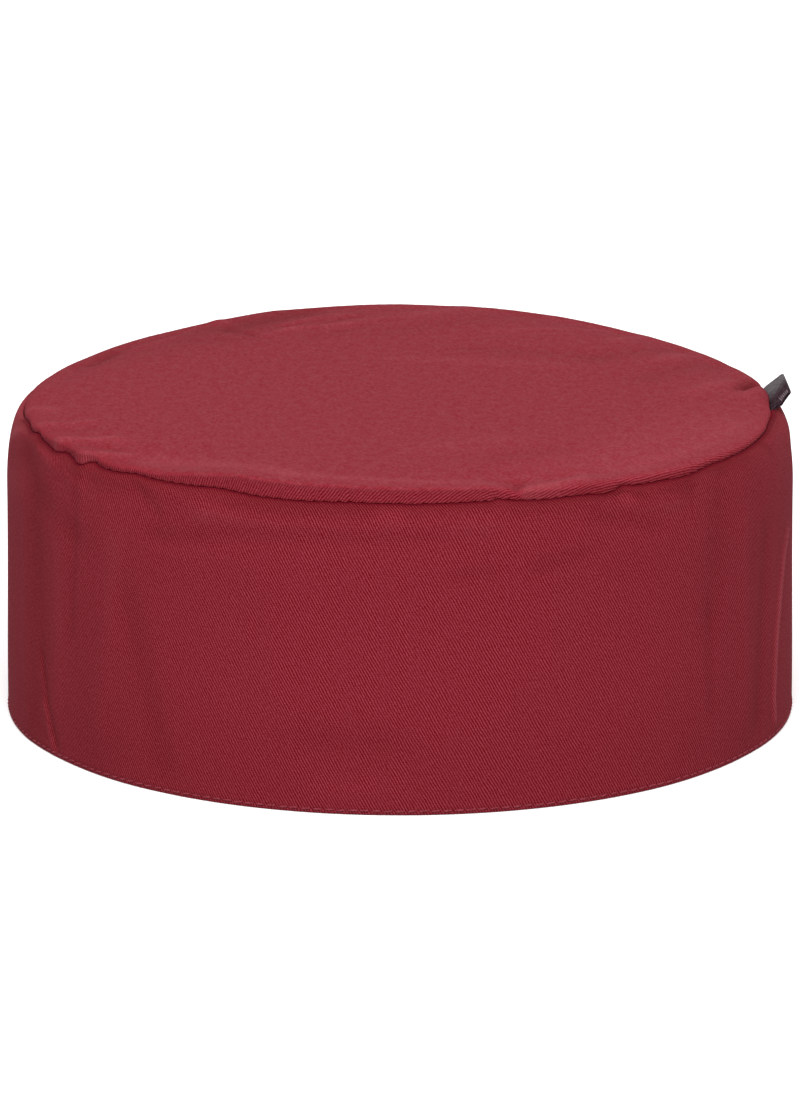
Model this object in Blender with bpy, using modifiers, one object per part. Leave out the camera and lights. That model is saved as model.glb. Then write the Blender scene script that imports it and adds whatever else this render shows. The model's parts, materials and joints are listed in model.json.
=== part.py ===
"""Pillbox chef hat in twill: a flat crown sewn to a tall doubled side band, with a small folded woven label.

Metres, +Z up. The hat stands on the folded hem of its side band. The origin is the centre of that hem, and the
front of the hat faces -Y. Angles round the hat run from the front towards +X.
"""

import math

import bmesh
import bpy
from mathutils import Matrix

MM = 0.001

# Driving dimensions of the hat
WALL_RADIUS = 97.5 * MM
BAND_HEIGHT = 75.4 * MM
CROWN_HEIGHT = 79.3 * MM
BAND_CLOTH = 1.8 * MM
CROWN_CLOTH = 1.2 * MM
SEGMENTS = 90

# Seam between crown and band: both edges turn down inside the hat and hang beside each other
SEAM_RADIUS = 93.0 * MM
SEAM_GAP = 0.4 * MM
SEAM_ROLL = 0.8 * MM
SEAM_ALLOWANCE = 9.0 * MM
LIP_WIDTH = 4.3 * MM
LIP_STEPS = 6

# Side band: a straight wall, a soft shoulder above it and a folded hem that flares a little
SHOULDER_START = 58.0 * MM
SHOULDER_STEPS = 6
WALL_RINGS = (44.0 * MM, 30.0 * MM, 16.0 * MM)
HEM_FLARE = 0.5 * MM
HEM_FLARE_START = 8.0 * MM
HEM_ROUND = 0.5 * MM

# Crown: rings closer together towards its edge
TOP_RINGS = 9
UNDERSIDE_RINGS = 5
RING_CROWDING = 0.8

# Label: a folded ribbon that leaves the seam upright and leans out over the band
LABEL_ANGLE = 94.8
LABEL_WIDTH = 17.0 * MM
LABEL_THICKNESS = 0.9 * MM
LABEL_ROOT = 4.0 * MM
LABEL_REACH = 5.6 * MM
LABEL_BEND = 1.2 * MM
LABEL_LEAN = 40.0
LABEL_GAP = 0.3 * MM
LABEL_STEPS = 6

# Waves of the seam: where, how wide, and how far it strays outwards and down
SEAM_WAVES = (
    # angle deg, half width deg, stray mm
    (-73.0, 3.0, -0.7),
    (-64.0, 4.0, 0.7),
    (-56.0, 3.0, 0.9),
    (-51.0, 4.0, -0.5),
    (-34.0, 9.0, -0.8),
    (29.0, 6.0, 0.6),
    (46.0, 6.0, 1.0),
    (77.0, 7.0, -1.0),
    (140.0, 12.0, 0.6),
    (-150.0, 14.0, -0.6),
    (-112.0, 7.0, 0.5),
)

# Soft folds of the crown: a straight crest or valley in plan, from one end to the other
CROWN_FOLDS = (
    # start x mm, start y mm, end x mm, end y mm, half width mm, rise mm
    (-46.0, 68.0, -38.0, 57.0, 5.0, -0.6),
    (-41.0, 65.0, -21.0, 88.0, 6.0, -0.8),
    (-27.0, 60.0, -17.0, 86.0, 6.0, 0.5),
    (56.0, 47.0, 78.0, 11.0, 6.0, -0.6),
    (66.0, 38.0, 74.0, 20.0, 5.0, 0.4),
    (-86.0, -40.0, -70.0, -42.0, 5.0, -0.6),
    (-82.0, -32.0, -68.0, -32.0, 5.0, 0.4),
)

# Soft creases of the band: a slightly leaning crest or valley between two heights
BAND_FOLDS = (
    # low angle deg, high angle deg, low end mm, high end mm, half width deg, rise mm
    (71.0, 79.0, 0.0, 62.0, 3.0, 0.5),
    (-61.0, -67.0, 0.0, 28.0, 3.5, -0.5),
    (-82.0, -80.0, 62.0, 72.0, 4.0, -0.5),
    (-52.0, -49.0, 0.0, 58.0, 6.0, -0.4),
    (-72.0, -70.0, 20.0, 60.0, 3.5, 0.3),
    (150.0, 146.0, 0.0, 55.0, 7.0, 0.4),
    (-128.0, -132.0, 8.0, 60.0, 7.0, -0.4),
)

FOLD_END = 4.0 * MM
WAVE_OUT = 0.7
WAVE_DOWN = 0.7
WAVE_REACH_ON_CROWN = 12.0 * MM
WAVE_REACH_ON_BAND = 15.0 * MM


def smooth_step(low, high, value):
    share = min(1.0, max(0.0, (value - low) / (high - low)))
    return share * share * (3.0 - 2.0 * share)


def hump(distance, half_width):
    return math.exp(-((distance / half_width) ** 2))


def angle_apart(first, second):
    return (first - second + 180.0) % 360.0 - 180.0


def ellipse_arc(centre, width, height, start, end, steps):
    """Points (radius, height) along an ellipse between two angles in degrees, both ends included."""
    points = []
    for step in range(steps + 1):
        turn = math.radians(start + (end - start) * step / steps)
        points.append((centre[0] + width * math.cos(turn), centre[1] + height * math.sin(turn)))
    return points


def crown_section():
    """The crown's cloth from its centre over the lip, down into the seam and back along the underside."""
    outer = SEAM_RADIUS - SEAM_GAP / 2
    flat = outer - LIP_WIDTH
    lip_foot = BAND_HEIGHT - SEAM_ROLL
    edge = lip_foot - SEAM_ALLOWANCE
    lip_height = CROWN_HEIGHT - lip_foot
    points = []
    for ring in range(TOP_RINGS):
        points.append((flat * (ring / TOP_RINGS) ** RING_CROWDING, CROWN_HEIGHT))
    points += ellipse_arc((flat, lip_foot), LIP_WIDTH, lip_height, 90, 0, LIP_STEPS)
    points.append((outer, edge))
    points.append((outer - CROWN_CLOTH, edge))
    inner_lip = (LIP_WIDTH - CROWN_CLOTH, lip_height - CROWN_CLOTH)
    points += ellipse_arc((flat, lip_foot), *inner_lip, 0, 90, LIP_STEPS // 2)
    for ring in reversed(range(UNDERSIDE_RINGS)):
        radius = flat * (ring / UNDERSIDE_RINGS) ** RING_CROWDING
        points.append((radius, CROWN_HEIGHT - CROWN_CLOTH))
    return points


def band_section():
    """The band's doubled cloth as a closed ring: seam edge, shoulder, wall, hem and back up the inside."""
    groove = SEAM_RADIUS + SEAM_GAP / 2
    crest = groove + SEAM_ROLL
    roll_centre = (crest, BAND_HEIGHT - SEAM_ROLL)
    edge = BAND_HEIGHT - SEAM_ROLL - SEAM_ALLOWANCE
    inner_wall = WALL_RADIUS - BAND_CLOTH
    hem_outer = WALL_RADIUS + HEM_FLARE
    hem_inner = hem_outer - BAND_CLOTH
    points = [(groove, edge)]
    points += ellipse_arc(roll_centre, SEAM_ROLL, SEAM_ROLL, 180, 90, 3)
    shoulder = (WALL_RADIUS - crest, BAND_HEIGHT - SHOULDER_START)
    points += ellipse_arc((crest, SHOULDER_START), *shoulder, 90, 0, SHOULDER_STEPS)[1:]
    for height in WALL_RINGS:
        points.append((WALL_RADIUS, height))
    points.append((WALL_RADIUS, HEM_FLARE_START))
    points += ellipse_arc((hem_outer - HEM_ROUND, HEM_ROUND), HEM_ROUND, HEM_ROUND, 0, -90, 2)
    points += ellipse_arc((hem_inner + HEM_ROUND, HEM_ROUND), HEM_ROUND, HEM_ROUND, -90, -180, 2)
    points.append((inner_wall, HEM_FLARE_START))
    points.append((inner_wall, WALL_RINGS[1]))
    points.append((inner_wall, SHOULDER_START))
    points.append((inner_wall - SEAM_ROLL / 2, edge))
    return points


def turned(name, section, closed):
    """A section turned round the Z axis into a welded mesh, ready to be shaped."""
    outline = bpy.data.meshes.new(name + "_section")
    edges = [(index, index + 1) for index in range(len(section) - 1)]
    if closed:
        edges.append((len(section) - 1, 0))
    outline.from_pydata([(radius, 0.0, height) for radius, height in section], edges, [])
    helper = bpy.data.objects.new(name + "_section", outline)
    bpy.context.scene.collection.objects.link(helper)
    screw = helper.modifiers.new("Turn", "SCREW")
    screw.steps = SEGMENTS
    screw.render_steps = SEGMENTS
    screw.use_merge_vertices = True
    screw.merge_threshold = 0.00005
    graph = bpy.context.evaluated_depsgraph_get()
    mesh = bpy.data.meshes.new_from_object(helper.evaluated_get(graph))
    mesh.name = name
    bpy.data.objects.remove(helper)
    bpy.data.meshes.remove(outline)
    return mesh


def seam_stray(angle):
    """How far the seam strays outwards and down at an angle, in metres."""
    return sum(stray * MM * hump(angle_apart(angle, at), width) for at, width, stray in SEAM_WAVES)


def crown_rise(x, y):
    """The height that the crown's folds add at a point in plan."""
    total = 0.0
    for start_x, start_y, end_x, end_y, half_width, rise in CROWN_FOLDS:
        run = ((end_x - start_x) * MM, (end_y - start_y) * MM)
        length = math.hypot(*run)
        along = ((x - start_x * MM) * run[0] + (y - start_y * MM) * run[1]) / length
        across = ((x - start_x * MM) * run[1] - (y - start_y * MM) * run[0]) / length
        beyond = max(-along, along - length, 0.0)
        total += rise * MM * hump(across, half_width * MM) * hump(beyond, FOLD_END)
    return total


def band_rise(angle, height):
    """How far the band's creases push the wall outwards at an angle and a height."""
    total = 0.0
    for low_angle, high_angle, low, high, half_width, rise in BAND_FOLDS:
        share = (height / MM - low) / (high - low)
        centre = low_angle + (high_angle - low_angle) * share
        beyond = max(low * MM - height, height - high * MM, 0.0)
        total += rise * MM * hump(angle_apart(angle, centre), half_width) * hump(beyond, 2 * FOLD_END)
    return total


def label_room(angle):
    """How far the crown's turned edge steps in to make room for the label's root."""
    half_span = math.degrees(LABEL_WIDTH / 2 / SEAM_RADIUS)
    beyond = abs(angle_apart(angle, LABEL_ANGLE)) - half_span
    needed = LABEL_THICKNESS + 2 * LABEL_GAP - SEAM_GAP
    return needed * (1.0 - smooth_step(3.0, 9.0, beyond))


def shape_crown(mesh):
    lip_foot = BAND_HEIGHT - SEAM_ROLL
    for vertex in mesh.vertices:
        x, y, z = vertex.co
        radius = math.hypot(x, y)
        if radius < MM:
            continue
        angle = math.degrees(math.atan2(x, -y))
        outer = SEAM_RADIUS - SEAM_GAP / 2
        seam = smooth_step(outer - WAVE_REACH_ON_CROWN, outer - CROWN_CLOTH, radius)
        stray = seam_stray(angle) * seam
        room = label_room(angle) * seam * (1.0 - smooth_step(lip_foot, CROWN_HEIGHT, z))
        moved = radius + stray * WAVE_OUT - room
        folds = crown_rise(x, y) * (1.0 - seam)
        vertex.co = (x * moved / radius, y * moved / radius, z - stray * WAVE_DOWN + folds)


def shape_band(mesh):
    groove = SEAM_RADIUS + SEAM_GAP / 2
    for vertex in mesh.vertices:
        x, y, z = vertex.co
        radius = math.hypot(x, y)
        angle = math.degrees(math.atan2(x, -y))
        at_seam = 1.0 if radius < groove + SEAM_ROLL / 4 else 0.0
        seam = max(at_seam, smooth_step(BAND_HEIGHT - WAVE_REACH_ON_BAND, BAND_HEIGHT - SEAM_ROLL, z))
        stray = seam_stray(angle) * seam
        moved = radius + stray * WAVE_OUT + band_rise(angle, z) * (1.0 - seam)
        vertex.co = (x * moved / radius, y * moved / radius, z - stray * WAVE_DOWN)


def label_section():
    """The folded ribbon's outline across the seam, as (radius, height) points round a bent strip."""
    root_radius = SEAM_RADIUS + SEAM_GAP / 2 - LABEL_GAP - LABEL_THICKNESS / 2
    half = LABEL_THICKNESS / 2
    bend_height = BAND_HEIGHT
    bend_centre = (root_radius + LABEL_BEND, bend_height)
    lean = math.radians(LABEL_LEAN)
    along = (math.sin(lean), math.cos(lean))
    bend_end = (bend_centre[0] - LABEL_BEND * math.cos(lean), bend_height + LABEL_BEND * math.sin(lean))
    tip = (bend_end[0] + along[0] * LABEL_REACH, bend_end[1] + along[1] * LABEL_REACH)
    root = bend_height - LABEL_ROOT
    stretch = LABEL_BEND + half
    points = [(root_radius - half, root)]
    points += ellipse_arc(bend_centre, stretch, stretch, 180, 180 - LABEL_LEAN, 3)
    points += ellipse_arc(tip, half, half, 180 - LABEL_LEAN, -LABEL_LEAN, 4)
    stretch = LABEL_BEND - half
    points += ellipse_arc(bend_centre, stretch, stretch, 180 - LABEL_LEAN, 180, 3)
    points.append((root_radius + half, root))
    return points


def label_mesh(name):
    """The ribbon's section spun along the seam by the label's width."""
    span = LABEL_WIDTH / SEAM_RADIUS
    start = math.radians(LABEL_ANGLE) - span / 2
    solid = bmesh.new()
    corners = [solid.verts.new((radius, 0.0, height)) for radius, height in label_section()]
    face = solid.faces.new(corners)
    geometry = [face, *face.edges, *face.verts]
    bmesh.ops.spin(
        solid, geom=geometry, cent=(0, 0, 0), axis=(0, 0, 1), angle=span, steps=LABEL_STEPS
    )
    bmesh.ops.rotate(
        solid,
        verts=solid.verts,
        cent=(0, 0, 0),
        matrix=Matrix.Rotation(start - math.pi / 2, 3, "Z"),
    )
    bmesh.ops.recalc_face_normals(solid, faces=solid.faces)
    mesh = bpy.data.meshes.new(name)
    solid.to_mesh(mesh)
    solid.free()
    follow_seam(mesh)
    return mesh


def follow_seam(mesh):
    for vertex in mesh.vertices:
        x, y, z = vertex.co
        radius = math.hypot(x, y)
        stray = seam_stray(math.degrees(math.atan2(x, -y)))
        moved = radius + stray * WAVE_OUT
        vertex.co = (x * moved / radius, y * moved / radius, z - stray * WAVE_DOWN)


def cloth(name, colour, roughness):
    material = bpy.data.materials.new(name)
    material.use_nodes = True
    shader = material.node_tree.nodes["Principled BSDF"]
    shader.inputs["Base Color"].default_value = (*colour, 1.0)
    shader.inputs["Roughness"].default_value = roughness
    shader.inputs["Metallic"].default_value = 0.0
    return material


def add_piece(name, mesh, material, collection):
    piece = bpy.data.objects.new(name, mesh)
    collection.objects.link(piece)
    mesh.materials.append(material)
    mesh.shade_smooth()
    mesh.set_sharp_from_angle(angle=math.radians(50))
    return piece


def clear_scene():
    for old in list(bpy.data.objects):
        bpy.data.objects.remove(old)


def build_hat():
    clear_scene()
    hat = bpy.data.collections.new("chef_hat")
    bpy.context.scene.collection.children.link(hat)

    crown = turned("crown_top", crown_section(), closed=False)
    shape_crown(crown)
    add_piece("crown_top", crown, cloth("crown_twill", (0.28, 0.04, 0.055), 0.85), hat)

    band = turned("side_band", band_section(), closed=True)
    shape_band(band)
    add_piece("side_band", band, cloth("band_twill", (0.24, 0.025, 0.035), 0.85), hat)

    label = label_mesh("loop_label")
    add_piece("loop_label", label, cloth("woven_label", (0.09, 0.09, 0.1), 0.7), hat)


build_hat()
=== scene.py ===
"""Looks of the pillbox chef hat: cut-cloth crown and band with their folds, twill, hem stitching and woven label.

Metres, +Z up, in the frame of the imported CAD. Angles round the hat run in degrees from the front (-Y) to +X.
"""

import json
import math

import bpy
import numpy as np
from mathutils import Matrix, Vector

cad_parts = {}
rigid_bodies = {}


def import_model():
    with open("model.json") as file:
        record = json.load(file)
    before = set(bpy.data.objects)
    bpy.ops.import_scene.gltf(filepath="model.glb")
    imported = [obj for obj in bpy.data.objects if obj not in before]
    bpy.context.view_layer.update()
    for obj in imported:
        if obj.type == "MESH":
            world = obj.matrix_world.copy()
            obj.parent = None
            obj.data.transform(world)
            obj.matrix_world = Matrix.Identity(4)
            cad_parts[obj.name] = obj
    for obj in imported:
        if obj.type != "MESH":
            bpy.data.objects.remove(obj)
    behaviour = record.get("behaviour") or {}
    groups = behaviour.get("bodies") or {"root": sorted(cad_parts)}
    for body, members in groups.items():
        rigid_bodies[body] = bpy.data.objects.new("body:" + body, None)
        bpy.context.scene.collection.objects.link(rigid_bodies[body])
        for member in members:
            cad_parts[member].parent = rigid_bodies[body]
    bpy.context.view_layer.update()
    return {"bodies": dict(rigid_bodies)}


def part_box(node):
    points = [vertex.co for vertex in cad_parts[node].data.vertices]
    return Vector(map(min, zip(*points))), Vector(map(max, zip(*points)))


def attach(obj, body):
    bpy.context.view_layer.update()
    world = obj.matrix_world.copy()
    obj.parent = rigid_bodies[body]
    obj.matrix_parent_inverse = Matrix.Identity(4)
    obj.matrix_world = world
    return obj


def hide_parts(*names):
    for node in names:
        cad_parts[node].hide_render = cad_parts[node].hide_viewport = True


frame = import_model()

MM = 0.001
BODY = "root" if "root" in frame["bodies"] else next(iter(frame["bodies"]))

# Sizes that follow the CAD
BAND_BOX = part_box("side_band")
HEM_RADIUS = (BAND_BOX[1].x - BAND_BOX[0].x) / 2
HEM_FLARE = 0.5 * MM
FLARE_HEIGHT = 55 * MM
WALL_RADIUS = HEM_RADIUS - HEM_FLARE
BAND_HEIGHT = 75.4 * MM
CROWN_HEIGHT = 79.3 * MM
SHOULDER_START = 58.0 * MM
SEAM_RADIUS = 93.0 * MM
SEAM_ROLL = 0.4 * MM
SEAM_GAP = 0.2 * MM
SEAM_ALLOWANCE = 8.6 * MM
LIP_FOOT = 74.6 * MM

# Cloth as the eye sees it: one layer of twill on the crown, two in the band
CROWN_CLOTH = 0.8 * MM
BAND_CLOTH = 1.5 * MM

# Points round the hat, and the rings of points across the cloth
CROWN_SEGMENTS = 720
BAND_SEGMENTS = 880
TOP_SHARES = np.concatenate([np.linspace(0.03, 0.66, 24), np.linspace(0.67, 0.99, 40)])
TOP_INSIDE_SHARES = np.linspace(0.94, 0.05, 16)
LIP_SHARES = np.concatenate([np.linspace(0.0, 0.9, 30), 1.0 - 0.1 * np.linspace(0.9, 0.0, 9) ** 2])
LIP_INSIDE_SHARES = (0.98, 0.95, 0.9, 0.8, 0.6, 0.45, 0.3, 0.15, 0.0)
WALL_HEIGHTS = np.concatenate([np.linspace(56, 4, 34), np.linspace(3.0, 0.9, 8)]) * MM
INSIDE_HEIGHTS = np.array([2.4, 5, 9, 16, 24, 32, 40, 48, 54, 58, 62]) * MM

# The crown's edge: how far it rounds inwards, how far it rounds down, and how full the rounding is
STANDING_LIP = (1.1 * MM, 0.8 * MM, 2.2)
SOFT_LIP = (6.5 * MM, 6.0 * MM, 2.2)
DOME = 1.4 * MM
DOME_FALL = 24.0 * MM
# Share of the lip's points on its rounding, and the most of its height that the rounding takes
LIP_ROUND = 0.6
LIP_MOST_FALL = 0.8
# The lip's underside: its height, where its shade starts, and how much higher it turns in inside
LIP_UNDERSIDE = 0.15 * MM
UNDERSIDE_START = 0.2
INSIDE_LIFT = 0.6
# Shares of the lip's height: where the crown's folds are whole again, and where the nap starts to lie flat and the
# top's painted sheen starts
FOLDS_WHOLE = 0.7
TOP_NAP_AND_SHEEN_FROM = 0.55
# Where the lip stands and how the crown's edge rises, all round
CROWN_EDGE = (
    # angle deg, share of standing lip, rise of the edge mm
    (-180, 1, 0.8),
    (-170, 1, 0.7),
    (-159, 0.9, 0.7),
    (-150, 0.7, 0),
    (-140, 0.5, -0.7),
    (-120, 0.2, -1.6),
    (-108, 0.1, -1.5),
    (-95, 0, -0.6),
    (-82, 0.1, -0.6),
    (-75, 0.3, -0.5),
    (-62, 0.6, -0.1),
    (-56, 0.8, 0.1),
    (-50, 0.6, -0.3),
    (-44, 0.5, -0.6),
    (-37, 0.7, -0.4),
    (-31, 0.9, 0.8),
    (-24, 1, 1.7),
    (-15, 1, 1.3),
    (0, 1, 0.9),
    (12, 1, 0.5),
    (17, 0.6, -0.8),
    (24, 0.7, -0.8),
    (28, 0.9, -0.5),
    (33, 0.7, -1),
    (45, 0.6, -1.2),
    (60, 0.5, -1.1),
    (75, 0.4, -1.1),
    (95, 0.2, -0.9),
    (108, 0.2, -1.4),
    (120, 0.25, -1.5),
    (140, 0.5, -1),
    (153, 0.9, -0.1),
    (165, 1, 0.6),
)

# A fine fold of the lip beside the right of the seam, dented a little and darkened with painted shade
SEAM_FOLD = (
    # angle deg, place on the lip from 0 at the seam to 1 at the top, depth share
    (36, 0.60, 0),
    (43, 0.60, 0.8),
    (50, 0.58, 1),
    (66, 0.56, 1),
    (73, 0.42, 0.9),
    (79, 0.20, 0),
)
SEAM_FOLD_WIDTH = 0.06
SEAM_FOLD_DEPTH = 0.12 * MM
SEAM_FOLD_SHADE = 0.97

# The wall stands nearly upright to the seam at the front and keeps its soft shoulder elsewhere
SEAM_PLACE = (
    # angle deg, seam further out mm, seam higher mm, lip over the band mm
    (-140, -0.3, 0, 0.3),
    (-105, -0.3, 0, 0.05),
    (-88, 0, 0, 0.04),
    (-84, 0, 0.3, 0.10),
    (-80, 0.1, 0.7, 0.2),
    (-72, 0.7, 1.7, 0.35),
    (-60, 1.5, 1.95, 0.4),
    (-45, 2.3, 1.7, 0.5),
    (-30, 2.8, 1.75, 0.6),
    (0, 2.9, 1.7, 0.62),
    (15, 2.9, 1.5, 0.62),
    (30, 2.8, 1.4, 0.5),
    (38, 2.6, 1.15, 0.5),
    (47, 2.4, 1.75, 0.45),
    (60, 1.6, 2, 0.4),
    (72, 0.65, 1.9, 0.3),
    (76, -0.2, 1.6, 0.26),
    (80, -0.95, 1.2, 0.22),
    (85, -1.25, 0.9, 0.2),
    (90, -1, 0.5, 0.18),
    (94, -0.6, 0.35, 0.2),
    (110, -0.7, 0, 0.3),
)
CREST_BELOW_LIP = -0.02 * MM

# Waves of the seam line, outwards and down
SEAM_WAVES = (
    # angle deg, half width deg, stray mm
    (-78, 3.4, -0.8),
    (-69.6, 1.8, -0.75),
    (-61, 2.4, 0.7),
    (-58, 1.2, -0.4),
    (-53.4, 1.8, 1.3),
    (-50.6, 1.5, -0.9),
    (-41, 3, -0.8),
    (-35, 4, -0.5),
    (-27, 4.5, -1),
    (-14, 5, 0.3),
    (2, 7, 0.3),
    (13.9, 1, -0.5),
    (20, 3, 0.5),
    (25, 4, 0.5),
    (30, 2.2, 0.9),
    (33.6, 1.2, -0.7),
    (45.5, 4.5, 0.9),
    (54.5, 3, 0.4),
    (59.5, 2.5, 0.2),
    (62, 5.5, 0.35),
    (75, 4, -0.4),
    (140, 12, 0.6),
    (-150, 14, -0.6),
    (-112, 7, 0.5),
)
WAVE_OUT = 0.7
WAVE_DOWN = 0.7
# seed, longest wave deg, strength mm
SEAM_RIPPLES = ((3, 9.0, 0.05), (4, 2.6, 0.035))

# Pull of the seam's stitches on the lip and on the band's crest
SEAM_STITCH = 2.8 * MM
PINCH_SEED = 6
PINCH_LEVEL = 0.6
PINCH_WAVE = 3.0
PINCH_UNEVEN = 0.3
PINCH_IN = 0.5
SEAM_PUCKER = 0.3 * MM
CREST_PUCKER = 0.1 * MM

# Reach of the lip over which the dark line comes to show, and how far the shade by it spreads
SEAM_SHOWS = (0.04 * MM, 0.18 * MM)
SEAM_SHADE = 0.9 * MM
BAND_SHADE = 3.0 * MM

# The band's crest closes up to the lip where the lip reaches little over it
CREST_CLOSING = 0.65 * MM
CREST_CLOSES = (0.1 * MM, 0.35 * MM)
CREST_EASE = 2.5 * MM
CREST_CLIMB = 0.2

# Folds of the crown in plan, with painted highlight and shade: a crest or valley along a line of points; rows without
# rise are painted light or shade alone
CROWN_FOLDS = (
    # half width mm, rise mm, painted highlight by % (painted shade where negative), (x mm, y mm) points
    (1.5, 0.4, 9, ((-87.5, -30), (-76, -32.5))),
    (1.7, -0.35, -7, ((-86, -36.5), (-75, -39))),
    (1.4, 0.6, 15, ((-83, -46), (-68.5, -49.5))),
    (1.5, -0.4, -9, ((-80, -52), (-68, -55.5))),
    (1.3, 0.45, 13, ((-77, -58.5), (-65.5, -61.5))),
    (1.2, -0.3, -8, ((-71, -64.5), (-64, -67))),
    (1.8, 0.25, 11, ((-91.5, -11.5), (-84.5, -16))),
    (6, -0.5, -16, ((-41, 69), (-27, 81))),
    (1.8, -0.35, -11, ((-44.5, 64.5), (-38, 56))),
    (1.6, 0.35, 12, ((-29, 67.5), (-17, 80))),
    (1.5, -0.3, -10, ((-28.5, 65), (-13.5, 74.5))),
    (1.5, 0.25, 8, ((-28, 61.5), (-14.5, 67))),
    (2, 0.3, 10, ((-47, 77), (-43, 71))),
    (3.5, -0.15, -4, ((-52.7, 50.4), (-42.7, 50.4))),
    (2.5, 0.4, 10, ((-67.5, 46), (-59, 57))),
    (3, -0.7, -16, ((-77, 35), (-73, 46))),
    (1.3, -0.7, -28, ((84.2, 5.5), (88.2, 14))),
    (2, -0.3, -26, ((86.2, 11), (87.6, 16.5))),
    (2.2, 0.3, 8, ((84.5, -1), (88.5, 7))),
    (2.5, 0.3, 8, ((55.8, 52.6), (61, 61))),
    (4.5, -0.3, -7, ((50.4, 32), (67.8, 46))),
    (3, 0.4, 9, ((67.3, 32), (72, 42))),
    (5, -0.4, -8, ((62.3, 12), (79, 34))),
    (3, 0.5, 8, ((72.4, -3.4), (83, 12))),
    (4, -0.25, -6, ((20, 39.6), (47, 34))),
    (4, -0.25, -5, ((23.6, -68.7), (37, -62))),
    (5, 0.25, 4, ((9.6, -59), (23.8, -53.3))),
    (1.3, -0.7, -14, ((26.8, -95), (28.3, -86))),
    (1.8, 0.4, 14, ((30, -91), (42.8, -83))),
    (2, -0.4, -10, ((43.5, -86.5), (51, -83))),
    (12, 0, 6, ((47.5, -72), (78, -32.7))),
    (2.4, 0.15, 9, ((-26, -86.5), (0, -91), (20, -91))),
    (3, 0.2, 5, ((55, -72), (74, -50), (82, -30))),
    (3.5, 0, 9, ((-58, -67), (-28, -84))),
    (16, 0, -8, ((-66, 50), (-34, 76))),
    (3, 0.25, 7, ((-14, 66), (16, 88))),
    (1.8, 0.3, 8, ((-33, 56), (-14, 78))),
    (2.5, -0.2, -5, ((-22, 52), (-2, 74))),
    (2.2, 0.15, 5, ((26, 60), (52, 66))),
    (5, -0.15, -4, ((-2, 60), (30, 80))),
    (3, 0.2, 5, ((0, 30), (40, 22))),
)

# Creases of the band, with painted highlight and shade: a crest or valley along a line of points on its outside; rows
# without rise are painted light or shade alone, such as the painted shade under the seam's lip
BAND_FOLDS = (
    # half width mm, rise mm, painted highlight by % (painted shade where negative), (angle deg, height mm) points
    (1.5, 0.3, 15, ((-84, 70), (-79, 73), (-74, 75.5))),
    (3, -0.25, -9, ((-79, 67), (-69, 70.5))),
    (4, 0, 6, ((-80, 61), (-73, 64))),
    (4, -0.3, -9, ((-71.5, 70), (-63, 64), (-54.6, 59))),
    (1.5, -0.2, -8, ((-53.2, 69.5), (-54.7, 33))),
    (3, 0.2, 4, ((-58.2, 60), (-58.5, 12))),
    (4, -0.2, -6, ((-65, 59), (-62.8, 24.4))),
    (1.1, -0.35, -12, ((-59, 3.2), (-61.5, 12), (-63.6, 24))),
    (1, 0.2, 12, ((-60.3, 2), (-62.7, 11.7))),
    (3.5, 0.25, 4, ((-44.6, 57), (-47.9, 12))),
    (4, -0.3, -8, ((-41.5, 44), (-36, 8))),
    (3.5, 0.25, 5, ((-69.5, 8), (-70, 58))),
    (1.7, 0.25, 5, ((-65.8, 73.2), (-52.7, 69.8))),
    (1.5, -0.2, -6, ((-40.5, 72.4), (-36.4, 67.8))),
    (2.2, -0.15, -4, ((-36.2, 63), (-29.6, 63.5))),
    (2, 0.2, 5, ((-35.5, 72), (-27.2, 70.5))),
    (2, 0.2, 4, ((-29, 69), (-11.3, 69.2), (1, 69.6), (12.4, 70))),
    (2.6, -0.2, -4, ((-35.9, 63.4), (-14, 66.8), (4.2, 67.5))),
    (2, -0.15, -6, ((19.8, 58.8), (26.4, 61))),
    (2, -0.1, -5, ((8.3, 58.2), (12.6, 58.8))),
    (2, -0.2, -7, ((29.3, 68.6), (38.3, 64.9))),
    (1.2, -0.25, -12, ((32.6, 74), (35.8, 72.3))),
    (2, 0.25, 9, ((35.6, 71.2), (42.4, 70))),
    (1.2, -0.2, -10, ((66.6, 74.2), (70, 70.5))),
    (4.5, -0.3, -9, ((52, 65.7), (50.4, 40))),
    (1.8, -0.15, -8, ((50, 40), (50.2, 16))),
    (3.5, 0.3, 5, ((58.8, 58), (59.4, 12))),
    (3, -0.3, -8, ((66, 52), (63.5, 8))),
    (1.2, 0.6, 30, ((70.1, 5), (69.6, 10), (70.5, 23.5), (72.5, 34.8), (74.7, 43.8), (77.5, 49))),
    (4, -0.15, -6, ((-13, 18), (-1.4, 17.4))),
    (3, 0.1, 5, ((-10, 6), (-1.4, 6.3))),
    (9, 0, -10, ((-67, 2), (-67, 62))),
    (9, 0, -6, ((-50, 0), (-50, 30))),
    (2, 0, -14, ((-58, 72.4), (-5, 72.6))),
    (2, 0, -10, ((2, 72.8), (28, 72.8))),
    (2.2, 0, -20, ((37, 72.2), (45, 72.2))),
    (1.6, 0, -12, ((52, 73.2), (60, 73.2))),
    (9, 0, -5, ((60, 10), (62, 62))),
    (18, -0.35, 0, ((-57, -5), (-57, 14))),
    (18, -0.35, 0, ((57, -5), (57, 14))),
    (2.5, 0.35, 0, ((82, 70), (98, 70))),
    (3, 0, 12, ((-100, 73), (-82, 74))),
    (16, 0, -7, ((-88, 6), (0, 6), (88, 6))),
    (9, 0.5, 0, ((150, 0), (146, 55))),
    (9, -0.5, 0, ((-128, 8), (-132, 60))),
    (6, 0.4, 0, ((-168, 0), (-170, 50))),
    (8, -0.4, 0, ((112, 5), (116, 58))),
    (0.7, -0.6, -12, ((180, -1), (180, 74))),
)
FOLD_END = 1.6
RISE, PAINTED_LIGHT, POINTS = 1, 2, 3

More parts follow.
